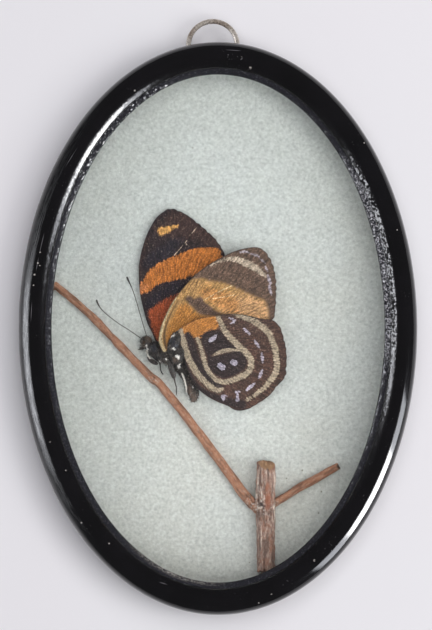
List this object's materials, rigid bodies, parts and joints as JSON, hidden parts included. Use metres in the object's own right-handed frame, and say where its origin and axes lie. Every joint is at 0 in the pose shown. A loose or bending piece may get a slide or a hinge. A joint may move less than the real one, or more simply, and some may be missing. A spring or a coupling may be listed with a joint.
{
  "type": "framed butterfly",
  "caption": "Butterfly in side view over a twig, fixed on pale paper behind convex glass in a black oval frame with a wire hanging loop.",
  "frame": {"origin": "middle of the oval on the back plane, where the board and the frame's back lie flush", "axes": "+Z out through the glass, +Y towards the hanging loop, +X to the right seen through the glass"},
  "size_m": [0.0834, 0.1252, 0.0156],
  "materials": {
    "lacquer": "glossy black lacquer",
    "glass": "clear convex glass",
    "paper": "uncoated pale grey-green paper on card",
    "board": "raw brown fibre board",
    "wire": "dull bent wire",
    "bark": "rough flaking bark",
    "thin_bark": "thin reddish bark",
    "insect_body": "dark hairy body with pale spots",
    "wing_upperside": "scaled wing, black with orange bands",
    "wing_underside": "scaled wing, buff and brown with cream rings",
    "insect_limb": "dark thin limb"
  },
  "bodies": {
    "root": {"frame": "lacquer", "glass": "glass", "paper_card": "paper", "back_board": "board", "hanging_loop": "wire", "stem": "bark", "long_branch": "thin_bark", "short_branch": "thin_bark", "butterfly_body": "insect_body", "forewing_near": "wing_underside", "forewing_far": "wing_upperside", "hindwing_near": "wing_underside", "hindwing_far": "wing_underside", "antenna_upper": "insect_limb", "antenna_lower": "insect_limb", "foreleg": "insect_limb", "midleg_far": "insect_limb", "midleg_near": "insect_limb", "hindleg_near": "insect_limb"}
  },
  "joints": []
}
